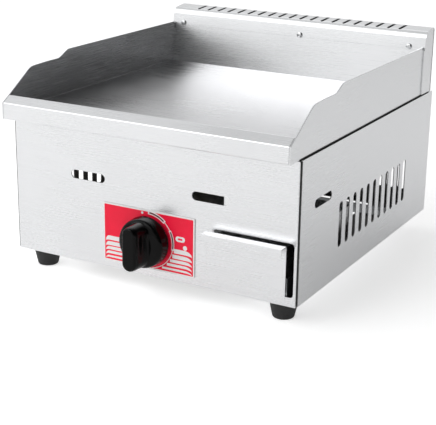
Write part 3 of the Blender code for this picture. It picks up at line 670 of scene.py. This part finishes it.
# ---------------------------------------------------------------- cooking plate
# An 8 mm steel plate, ground flat and oiled. Its edges are eased by hand, and
# it lies on the rails over the burner.
PLATE_STEEL = finish(
    "ground plate steel",
    (0.62, 0.62, 0.63),
    1.0,
    0.30,
    (18.0, 700.0, 700.0),
    tint=0.08,
    wear=0.07,
    bump=0.05,
    cloud=5.0,
)
plate = box("cooking_plate", *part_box("griddle_plate"))
install(softened(plate, 0.0008, segments=3), PLATE_STEEL, "casing", "plate_steel", "griddle_plate")

# ---------------------------------------------------------------- rim and guards
# One stainless sheet is folded into the rim that keeps grease on the plate:
# an upright lip, a slanted strip and a drop behind it. Upright guards with a
# stepped, rounded top line close both sides, and a leaning sheet the back.
tray_low, tray_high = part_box("front_rim")
half_width = tray_high.x
lip_face, lip_bottom = tray_low.y, tray_low.z
LIP_TOP_Z = 0.2215
CREST_Y, CREST_Z = -0.2255, 0.230
half = SHEET / 2
rim_line = (
    (-0.216, lip_bottom + half),
    (lip_face + half, lip_bottom + half),
    (lip_face + half, LIP_TOP_Z - half / 2),
    (CREST_Y, CREST_Z - half),
    (-0.2125, 0.2028),
    (-0.1978, 0.2028),
)
rim = folded("rim", bent(rim_line, (0.0012, 0.0015, 0.002, 0.002)), "X", -half_width, half_width)
install(softened(rim), BRUSHED_X, "casing", "stainless", "front_rim")

# A flat piece cut from sheet: its outlines, drawn in X and Y, are filled, one
# inside another being a hole, and raised to the sheet's thickness.
CUT_SHEET, given = new_tree("cut from sheet", {"Thickness": 0.0015})
shape = add_node(CUT_SHEET, "GeometryNodeMeshToCurve", None, {"Mesh": given["Geometry"]})
shape = add_node(CUT_SHEET, "GeometryNodeFillCurve", {"mode": "NGONS"}, {"Curve": shape.outputs[0]})
raised = add_node(
    CUT_SHEET,
    "GeometryNodeExtrudeMesh",
    None,
    {"Mesh": shape.outputs[0], "Offset Scale": given["Thickness"], "Individual": False},
)
underside = add_node(CUT_SHEET, "GeometryNodeFlipFaces", None, {"Mesh": shape.outputs[0]})
solid = add_node(CUT_SHEET, "GeometryNodeJoinGeometry")
CUT_SHEET.links.new(raised.outputs["Mesh"], solid.inputs[0])
CUT_SHEET.links.new(underside.outputs[0], solid.inputs[0])
solid = add_node(
    CUT_SHEET,
    "GeometryNodeMergeByDistance",
    None,
    {"Geometry": solid.outputs[0], "Distance": 0.000002},
)
end_tree(CUT_SHEET, given, solid.outputs[0])

# How a flat outline's own two directions and its thickness lie in the object
PLANES = {
    "XY": Matrix.Identity(4),
    "XZ": Matrix.Rotation(math.radians(90), 4, "X"),
    "YZ": Matrix(((0, 0, 1, 0), (1, 0, 0, 0), (0, 1, 0, 0), (0, 0, 0, 1))),
}


def cut_flat(name, outlines, plane, low, high, material):
    """A flat piece between low and high along the direction that its plane leaves out."""
    mesh = bpy.data.meshes.new(name)
    points, edges = [], []
    for outline in outlines:
        first = len(points)
        points += [(a, b, 0) for a, b in outline]
        count = len(outline)
        edges += [(first + i, first + (i + 1) % count) for i in range(count)]
    mesh.from_pydata(points, edges, [])
    obj = grow(new_object(name, mesh), CUT_SHEET, material, {"Thickness": high - low})
    start = -high if plane == "XZ" else low
    obj.data.transform(PLANES[plane] @ Matrix.Translation((0, 0, start)))
    return obj


GUARD_BACK_Y, GUARD_FOOT_Z, GUARD_TOP_Z = 0.170, 0.202, 0.2675
guard_outline = [(-0.216, GUARD_FOOT_Z), (-0.216, lip_bottom)]
guard_outline += [(lip_face, lip_bottom), (lip_face, LIP_TOP_Z)]
guard_top = (
    (CREST_Y, CREST_Z),
    (-0.1815, 0.2575),
    (-0.150, 0.2585),
    (-0.1215, 0.2585),
    (-0.101, GUARD_TOP_Z),
    (GUARD_BACK_Y, GUARD_TOP_Z),
)
guard_bends = (0.022, 0.010, 0.014, 0.014)
guard_outline += [*bent(guard_top, guard_bends, 10), (GUARD_BACK_Y, GUARD_FOOT_Z)]
for word in ("left", "right"):
    low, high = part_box(f"{word}_splash_guard")
    guard = cut_flat(f"{word}_guard", [guard_outline], "YZ", low.x, high.x, BRUSHED_Y)
    install(softened(guard), BRUSHED_Y, "casing", "stainless", f"{word}_splash_guard")

# ---------------------------------------------------------------- flue cover
# The cover over the flue is a sheet bent over the back of the griddle, with a
# row of slanting slits that let the burnt gas out. Its front edge laps the
# leaning splash sheet, and end caps close it at both sides.
LEAN = 0.1627
SPLASH_FOOT = Vector((0.1625, 0.2024))
SCREW_XS = (-0.1808, 0.0118, 0.1765)
SCREW_Z = 0.2668
COVER_EDGE_Z, COVER_BEND_Z, COVER_FOOT_Z = 0.2640, 0.2868, 0.2016
SPLASH_TOP_Z = 0.2735
FRONT_BEND, BACK_BEND = 0.010, 0.0028
GAP = 0.0003
THIN_EDGE = 0.0002
SLIT, SLIT_COUNT, SLIT_STEP = (0.0224, 0.0046), 20, (0.01675, 0, 0)


def leaning(z):
    return SPLASH_FOOT.x + LEAN * (z - SPLASH_FOOT.y)


splash_line = (tuple(SPLASH_FOOT), (leaning(SPLASH_TOP_Z), SPLASH_TOP_Z))
splash = folded("leaning_splash", splash_line, "X", -half_width, half_width)
install(softened(splash), BRUSHED_X, "casing", "stainless", "rear_splash")

hood_low, hood_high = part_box("flue_hood")


def hood_line(inset=0.0, steps=12):
    """The middle line of the cover's sheet, from front edge to back edge, moved inwards."""
    edge_y = leaning(COVER_EDGE_Z) - (SHEET + GAP) * math.hypot(1, LEAN) + inset
    bend_z = COVER_BEND_Z - inset
    back_y = hood_high.y - SHEET / 2 - inset
    corners = (
        (edge_y, COVER_EDGE_Z),
        (edge_y + LEAN * (bend_z - COVER_EDGE_Z), bend_z),
        (back_y, hood_high.z - SHEET / 2 - inset),
        (back_y, COVER_FOOT_Z),
    )
    return bent(corners, (FRONT_BEND - inset, BACK_BEND - inset), steps)


cover = folded("flue_cover", hood_line(), "X", hood_low.x, hood_high.x)
slit_slant = math.atan2(0.022, 0.002)
row = (SLIT, (0.0, 0.0, slit_slant), SLIT_COUNT, SLIT_STEP)
punch(cover, BRUSHED_X, (-0.1592, 0.1905, hood_high.z), *row, depth=0.02)
install(softened(cover, THIN_EDGE), BRUSHED_X, "casing", "stainless", "flue_hood")
inside_high = (0.199, hood_high.y - SHEET * 0.6, hood_high.z - 0.0026)
# The cover's inner faces get painted shade, so its slits read dark.
paint_inside_shade(cover, (-0.199, 0.1722, 0.19), inside_high)
for side, word in ((-1, "left"), (1, "right")):
    low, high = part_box(f"{word}_flue_end")
    inner = hood_line(SHEET / 2 + GAP, 12)
    cap_top = COVER_EDGE_Z - 0.0005
    outline = [(low.y, 0.202), (low.y, cap_top), (inner[0][0] + GAP, cap_top)]
    outline += inner[1:-1] + [(inner[-1][0], 0.202)]
    xs = sorted((side * 0.1980, side * 0.1992))
    cap = cut_flat(f"{word}_flue_cap", [outline], "YZ", *xs, BRUSHED_Y)
    xs = sorted((side * 0.1962, side * 0.1986))
    lap = box("lap", (xs[0], low.y, 0.2021), (xs[1], low.y + SHEET, cap_top - 0.0001))
    combine(cap, "UNION", lap)
    install(softened(cap, THIN_EDGE), BRUSHED_Y, "casing", "stainless", f"{word}_flue_end")

# ---------------------------------------------------------------- screws
# Zinc plated pan-head screws with a cross recess: three through the cover
# into the splash, four in the back panel, and one up through each foot.
ZINC = finish("zinc plated screw", (0.72, 0.73, 0.74), 1.0, 0.22, (400.0, 400.0, 400.0), bump=0.1)


def turned(name, profile, steps=40):
    """A turned solid about Z from (radius, height) points, up its outside from the axis."""
    bm = bmesh.new()
    points = [bm.verts.new((radius, 0, height)) for radius, height in profile]
    edges = [bm.edges.new(pair) for pair in zip(points, points[1:])]
    bmesh.ops.spin(
        bm,
        geom=points + edges,
        cent=(0, 0, 0),
        axis=(0, 0, 1),
        angle=math.radians(360),
        steps=steps,
        use_merge=True,
    )
    bmesh.ops.remove_doubles(bm, verts=bm.verts, dist=0.000001)
    bmesh.ops.recalc_face_normals(bm, faces=bm.faces)
    return object_from(name, bm)


def pan_screw(name, head, shank, length):
    """A screw along Z with its seat at the origin and its head above."""
    height = head * 0.6
    dome = [(head, 0), (head, height * 0.35)]
    dome += [
        (head * math.cos(a) ** 0.7, height * (0.35 + 0.65 * math.sin(a)))
        for a in (math.radians(15 * step) for step in range(1, 6))
    ]
    thread = []
    turns = int(length / 0.0008)
    for index in range(turns):
        z = -length + 0.0010 + index * (length - 0.0016) / turns
        thread += [(shank * 0.86, z), (shank, z + 0.0003)]
    profile = [(0, -length), (shank * 0.6, -length), *thread, (shank, -0.0002), (shank, 0)]
    screw = turned(name, [*profile, *dome, (0, height)], 24)
    bars = []
    for long_x, long_y in ((0.55, 0.12), (0.12, 0.55)):
        low = (-head * long_x, -head * long_y, height * 0.45)
        high = (head * long_x, head * long_y, height * 1.2)
        bars.append(box("cross", low, high))
    combine(screw, "DIFFERENCE", *bars)
    screw.hide_render = True
    return screw


# The same thing set on each point of a mesh, all turned the same way
SET_OUT, given = new_tree("set out on points", {"Thing": None, "Turn": (0.0, 0.0, 0.0)})
thing = add_node(SET_OUT, "GeometryNodeObjectInfo", None, {"Object": given["Thing"]})
placed = add_node(
    SET_OUT,
    "GeometryNodeInstanceOnPoints",
    None,
    {
        "Points": given["Geometry"],
        "Instance": thing.outputs["Geometry"],
        "Rotation": given["Turn"],
    },
)
end_tree(SET_OUT, given, placed.outputs[0])


def set_out(name, thing, places, towards, material):
    """Copies of a thing at the places, its Z turned towards a direction, as one mesh."""
    mesh = bpy.data.meshes.new(name)
    mesh.from_pydata([tuple(place) for place in places], [], [])
    turned_to = tuple(Vector(towards).to_track_quat("Z", "Y").to_euler())
    made = grow(new_object(name, mesh), SET_OUT, material, {"Thing": thing, "Turn": turned_to})
    made.data.shade_smooth()
    made.data.set_sharp_from_angle(angle=math.radians(35))
    return made


outward = Vector((0, -1, LEAN)).normalized()
small_screw = pan_screw("small_screw", head=0.004, shank=0.0019, length=0.009)
proud = outward * (SHEET * 1.5 + 2 * GAP)
seats = [Vector((x, leaning(SCREW_Z), SCREW_Z)) + proud for x in SCREW_XS]
hood_nodes = [f"hood_screw_{number}" for number in (1, 2, 3)]
screws = set_out("cover_screws", small_screw, seats, outward, ZINC)
install(screws, ZINC, "casing", "zinc", *hood_nodes)

back_nodes = [f"back_screw_{number}" for number in (1, 2, 3, 4)]
seats = [Vector((x, 0.2153, z)) for z in (0.045, 0.180) for x in (-0.19, 0.19)]
screws = set_out("back_screws", small_screw, seats, (0, 1, 0), ZINC)
install(screws, ZINC, "casing", "zinc", *back_nodes)
bpy.data.objects.remove(small_screw, do_unlink=True)

# ---------------------------------------------------------------- feet
# Four tapered feet of moulded black rubber, each held up against the casing
# by a screw that sits inside its hollow.
RUBBER = finish(
    "black rubber", (0.012, 0.012, 0.012), 0.0, 0.62, (900.0, 900.0, 900.0), bump=0.25, wear=0.1
)
foot_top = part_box("foot_1")[1].z
foot_profile = [(0.0029, foot_top), (0.0029, 0.012), (0.0060, 0.012), (0.0060, 0.0003)]
foot_profile += [(0.0063, 0), (0.0112, 0), (0.0124, 0.0004), (0.0131, 0.0011), (0.0135, 0.0021)]
foot_profile += [(0.0176, foot_top - 0.0030), (0.0180, foot_top - 0.0022)]
foot_profile += [(0.0180, foot_top - 0.0005), (0.0176, foot_top), (0.0029, foot_top)]
foot = turned("foot", foot_profile, 48)
foot.hide_render = True
foot_rows = ((-0.190, 0.172), (0.190, 0.143))
foot_places = [(x, y, 0) for y, reach in foot_rows for x in (-reach, reach)]
feet = set_out("rubber_feet", foot, foot_places, (0, 0, 1), RUBBER)
install(feet, RUBBER, "casing", "rubber", *[f"foot_{number}" for number in (1, 2, 3, 4)])
bpy.data.objects.remove(foot, do_unlink=True)

foot_screw = pan_screw("foot_screw", head=0.0045, shank=0.0025, length=0.022)
FOOT_SCREW_SEAT = 0.0117
seats = [(x, y, FOOT_SCREW_SEAT) for x, y, _ in foot_places]
screws = set_out("foot_screws", foot_screw, seats, (0, 0, -1), ZINC)
install(screws, ZINC, "casing", "zinc", *[f"foot_screw_{number}" for number in (1, 2, 3, 4)])
bpy.data.objects.remove(foot_screw, do_unlink=True)

# ---------------------------------------------------------------- control plate
# A thin white enamelled plate behind the knob, printed red inside a narrow
# white border. On the red lie a white band that narrows as the flame is
# turned down, a spark mark and two groups of stripes.
RED_PRINT = finish(
    "red print",
    (0.98, 0.011, 0.050),
    0.0,
    0.34,
    (60.0, 60.0, 60.0),
    tint=0.05,
    wear=0.04,
    bump=0.02,
    cloud=20.0,
    shader={"Specular IOR Level": 0.25},
)
WHITE_PRINT = finish(
    "white print", (0.90, 0.88, 0.88), 0.0, 0.42, (500.0, 500.0, 500.0), tint=0.03, bump=0.03
)


def arc(centre, radius, start, end, steps):
    """Points on a circle from start to end degrees, both included."""
    angles = [math.radians(start + (end - start) * step / steps) for step in range(steps + 1)]
    return [(centre[0] + radius * math.cos(a), centre[1] + radius * math.sin(a)) for a in angles]


def rounded_box(low, high, radius, steps=6):
    left, bottom = low
    right_side, top = high
    return (
        arc((right_side - radius, bottom + radius), radius, -90, 0, steps)
        + arc((right_side - radius, top - radius), radius, 0, 90, steps)
        + arc((left + radius, top - radius), radius, 90, 180, steps)
        + arc((left + radius, bottom + radius), radius, 180, 270, steps)
    )


def band(width, start, end, steps=24):
    """A curved band round the knob, with clock angles from straight up."""
    outer = arc(AXIS, BAND_RADIUS + width / 2, 90 - start, 90 - end, steps)
    inner = arc(AXIS, BAND_RADIUS - width / 2, 90 - end, 90 - start, steps)
    return outer + inner


plate_low, plate_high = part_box("control_plate")
PRINT = 0.00012
BORDER = 0.0019
STEM_HOLE, BAND_RADIUS = 0.016, 0.0352
stem_hole = arc(AXIS, STEM_HOLE, 0, 360, 48)[:-1]
outlines = [rounded_box((plate_low.x, plate_low.z), (plate_high.x, plate_high.z), 0.002), stem_hole]
face = cut_flat("control_face", outlines, "XZ", plate_low.y, plate_high.y, WHITE_PRINT)
install(softened(face, THIN_EDGE), WHITE_PRINT, "casing", "printed_red", "control_plate")
field_low = (plate_low.x + BORDER, plate_low.z + BORDER)
field_high = (plate_high.x - BORDER, plate_high.z - BORDER)
outlines = [rounded_box(field_low, field_high, 0.0008), stem_hole]
red = cut_flat("red_field", outlines, "XZ", plate_low.y - PRINT, plate_low.y, RED_PRINT)
install(red, RED_PRINT, "casing", "printed_red")

shapes = {
    "wide_band": [band(0.0044, 0, 42), band(0.0020, 3, 39)],
    "thin_band": [band(0.0010, 42.4, 60)],
    "low_band": [band(0.0034, 60.4, 102), band(0.0018, 63, 99)],
    "tail_band": [band(0.0008, 102.4, 170, 40)],
    "off_dot": [arc((-0.0082, 0.1052), 0.0016, 0, 360, 20)[:-1]],
    "spark_ring": [
        rounded_box((0.0388, 0.0770), (0.0518, 0.0838), 0.0033),
        rounded_box((0.0420, 0.0792), (0.0486, 0.0816), 0.0011),
    ],
    "spark_dot": [arc((0.0520, 0.0705), 0.0029, 0, 360, 20)[:-1]],
}
cores = {
    "wide_band_core": [band(0.0016, 4, 38)],
    "low_band_core": [band(0.0014, 64, 98)],
}


def sweep(corner, reach, drop, steps=10):
    """A quarter of an oval from its top at the corner, outwards and down to its side."""
    angles = [math.radians(90 - 90 * step / steps) for step in range(steps + 1)]
    x, z = corner
    return [(x + reach * math.cos(a), z - drop + drop * math.sin(a)) for a in angles]


stripe_drops = (0.0424, 0.0499, 0.0564, 0.0622, 0.0681, 0.0735)
stripe_heights = (0.0056, 0.0050, 0.0040, 0.0034, 0.0026)
STRIPE_END = 0.0618
for number, height in enumerate(stripe_heights):
    top = plate_high.z - stripe_drops[number]
    bottom = top - height
    drop = min(stripe_drops[number + 1] - stripe_drops[number], top - field_low[1] - 0.0003)
    start = math.sqrt(max(0.0372**2 - (top - height / 2 - AXIS[1]) ** 2, 0.010**2))
    for side, word, curl in ((-1, "left", 0.0050), (1, "right", 0.0105)):
        outer = sweep((STRIPE_END - curl, top), curl, drop)
        inner = sweep((STRIPE_END - curl, bottom), curl, drop - height)
        points = [(start, bottom), (start, top), *outer, *inner[-2::-1]]
        shapes[f"{word}_stripe_{number}"] = [[(side * x, z) for x, z in points]]
BLACK_PRINT = finish(
    "black print", (0.02, 0.018, 0.02), 0.0, 0.42, (500.0, 500.0, 500.0), tint=0.1, bump=0.03
)
for marks, colour in ((shapes, WHITE_PRINT), (cores, BLACK_PRINT)):
    for name, outlines in marks.items():
        mark = cut_flat(name, outlines, "XZ", plate_low.y - PRINT * 2, plate_low.y, colour)
        install(mark, colour, "casing", "printed_red")

# ---------------------------------------------------------------- knob
# The knob is one moulding of glossy black plastic: a round skirt, a flat face
# and a wide upright grip bar, all with soft moulded edges.
GLOSS_BLACK = finish(
    "glossy black plastic",
    (0.0015, 0.0015, 0.0015),
    0.0,
    0.16,
    (150.0, 150.0, 150.0),
    tint=0.2,
    wear=0.04,
    bump=0.012,
    shader={"Specular IOR Level": 0.13},
)
knob_low, knob_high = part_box("knob")
knob_back, knob_front = knob_high.y, knob_low.y
skirt = [(0, 0.0189), (0.0180, 0.0188), (0.0220, 0.0182), (0.0255, 0.0173), (0.0280, 0.0164)]
skirt += [(0.0294, 0.0154), (0.0302, 0.0143), (0.0307, 0.0128), (0.0314, 0.0040)]
skirt += [(0.0315, 0.0020), (0.0315, 0.0003), (0.0311, 0), (0.0294, 0), (0.0285, 0.0125)]
skirt += [(0.0085, 0.0125), (0.0085, 0.0020), (0.0066, 0.0020), (0.0066, 0.0050), (0, 0.0050)]
knob = turned("gas_knob", skirt[::-1], 96)
to_front = Matrix.Rotation(math.radians(90), 4, "X")
knob.data.transform(Matrix.Translation((0, knob_back, AXIS[1])) @ to_front)
bar_bm = bmesh.new()
rings = []
bar_rings = (
    (knob_back - 0.0140, 0.0282, 0.0160),
    (knob_back - 0.0190, 0.0281, 0.0140),
    (knob_back - 0.0230, 0.0280, 0.0124),
    (knob_back - 0.0280, 0.0279, 0.0111),
    (knob_front + 0.0060, 0.0278, 0.0104),
    (knob_front + 0.0018, 0.0272, 0.0094),
    (knob_front + 0.0005, 0.0262, 0.0084),
    (knob_front, 0.0248, 0.0070),
)
for y, length, width in bar_rings:
    ring = arc((0, AXIS[1] + length - width), width, 0, 180, 16)
    ring += arc((0, AXIS[1] - length + width), width, 180, 360, 16)
    rings.append([bar_bm.verts.new((x, y, z)) for x, z in ring])
for near, far in zip(rings, rings[1:]):
    for index in range(len(near)):
        after = (index + 1) % len(near)
        bar_bm.faces.new((near[index], near[after], far[after], far[index]))
bar_bm.faces.new(rings[0])
bar_bm.faces.new(rings[-1][::-1])
bmesh.ops.recalc_face_normals(bar_bm, faces=bar_bm.faces)
combine(knob, "UNION", object_from("bar", bar_bm))
BORE, BORE_DEPTH, BORE_START = 0.0044, 0.0165, -0.2235
socket = turned("socket", [(0, 0), (BORE, 0), (BORE, BORE_DEPTH), (0, BORE_DEPTH)], 32)
socket.data.transform(Matrix.Translation((0, BORE_START, AXIS[1])) @ to_front)
combine(knob, "DIFFERENCE", socket)
remesh = knob.modifiers.new("moulding", "REMESH")
remesh.mode = "VOXEL"
remesh.voxel_size = 0.0006
easing = knob.modifiers.new("moulded edges", "SMOOTH")
easing.factor = 0.5
easing.iterations = 7
settled(knob)
knob.data.shade_smooth()
install(knob, GLOSS_BLACK, "knob", "black_plastic", "knob")

# ---------------------------------------------------------------- return spring
# A coil of plated spring wire round the valve stem pushes the knob back out.
# One end sits in the cup on the stem, and the other rests on the valve.
SPRING_FREE_END, SPRING_LENGTH, WIRE = -0.2160, 0.012, 0.0005
SPRING = {"Turns": 4.0, "Radius": 0.0062, "Height": SPRING_LENGTH, "Wire": WIRE}
COIL, given = new_tree("coil of wire", SPRING)
spiral = add_node(
    COIL,
    "GeometryNodeCurveSpiral",
    None,
    {
        "Resolution": 24,
        "Rotations": given["Turns"],
        "Start Radius": given["Radius"],
        "End Radius": given["Radius"],
        "Height": given["Height"],
    },
)
wire_round = add_node(
    COIL, "GeometryNodeCurvePrimitiveCircle", None, {"Resolution": 10, "Radius": given["Wire"]}
)
wire = add_node(
    COIL,
    "GeometryNodeCurveToMesh",
    None,
    {"Curve": spiral.outputs[0], "Profile Curve": wire_round.outputs[0], "Fill Caps": True},
)
end_tree(COIL, given, wire.outputs[0])
spring = new_object("coil_spring", bpy.data.meshes.new("coil_spring"))
grow(spring, COIL, ZINC, SPRING)
along_stem = Matrix.Rotation(math.radians(-90), 4, "X")
spring.data.transform(Matrix.Translation((0, SPRING_FREE_END, AXIS[1])) @ along_stem)
spring.data.shade_smooth()
install(spring, ZINC, "casing", "zinc", "return_spring")
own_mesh(spring)

# ---------------------------------------------------------------- grease drawer
# A stainless tray that slides on two runners under the drain spout. Its front
# sheet is folded out at the top and down again into a pull with round corners.
front_low, front_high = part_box("drawer_front")
sheet_y = front_high.y - SHEET / 2
flap_y = front_low.y + SHEET / 2
ledge_z = front_high.z - SHEET / 2
pull_line = ((sheet_y, front_low.z), (sheet_y, ledge_z), (flap_y + 0.0012, ledge_z))
pull = folded("drawer_face", bent(pull_line, (0.001,), 6), "X", front_low.x, front_high.x)
FLAP_Z, FLAP_CORNER = 0.0895, 0.006
corner_z = FLAP_Z + FLAP_CORNER
outline = arc((front_low.x + FLAP_CORNER, corner_z), FLAP_CORNER, 180, 270, 10)
outline += arc((front_high.x - FLAP_CORNER, corner_z), FLAP_CORNER, 270, 360, 10)
outline += [(front_high.x, front_high.z), (front_low.x, front_high.z)]
flap = cut_flat("flap", [outline], "XZ", front_low.y, front_low.y + SHEET, BRUSHED_X)
combine(pull, "UNION", flap)
install(softened(pull), BRUSHED_X, "drawer", "stainless", "drawer_front")

# ---------------------------------------------------------------- inner parts
# What is left keeps the shape it has: the rails, burner, valve, gas pipe,
# igniter and runners, each in the finish it is bought with.
BLACK_PAINT = finish(
    "black heat paint", (0.018, 0.018, 0.018), 0.0, 0.55, (300.0,) * 3, tint=0.2, bump=0.2
)
BURNER_STEEL = finish(
    "burnt black steel",
    (0.05, 0.042, 0.038),
    0.6,
    0.6,
    (120.0,) * 3,
    tint=0.3,
    bump=0.25,
    low_colour=(0.02, 0.018, 0.02),
)
GALVANISED = finish(
    "galvanised sheet", (0.55, 0.57, 0.58), 1.0, 0.42, (60.0,) * 3, tint=0.18, wear=0.12, cloud=90.0
)
BRASS = finish("brass", (0.74, 0.52, 0.22), 1.0, 0.28, (90.0, 900.0, 90.0), tint=0.1, wear=0.08)
CERAMIC = finish("white ceramic", (0.83, 0.81, 0.76), 0.0, 0.35, (200.0, 200.0, 200.0), tint=0.04)
LEAD_SLEEVE = finish(
    "red silicone sleeve", (0.45, 0.03, 0.02), 0.0, 0.5, (400.0,) * 3, tint=0.1
)
SURFACES = {
    BRUSHED_Y: ("drawer_tray",),
    BRUSHED_X: ("grease_trough",),
    BRUSHED_Z: ("grease_chute",),
    BLACK_PAINT: (
        "left_plate_rail",
        "right_plate_rail",
        "front_burner_bracket",
        "rear_burner_bracket",
    ),
    BURNER_STEEL: ("burner_tube", "mixing_tube"),
    GALVANISED: (
        "front_base_strap",
        "rear_base_strap",
        "back_base_strap",
        "heat_shield",
        "left_drawer_runner",
        "right_drawer_runner",
    ),
    ZINC: (
        "air_shutter",
        "valve_nut",
        "valve_stem",
        "spring_cup",
        "knob_clip",
        "inlet_locknut",
    ),
    BRASS: ("valve_body", "gas_jet", "gas_pipe", "pipe_nut", "inlet_nipple"),
    GLOSS_BLACK: ("piezo_igniter",),
    CERAMIC: ("spark_electrode",),
    LEAD_SLEEVE: ("ignition_lead",),
}
for surface, nodes in SURFACES.items():
    for node in nodes:
        for material_slot in frame["nodes"][node].material_slots:
            material_slot.material = surface
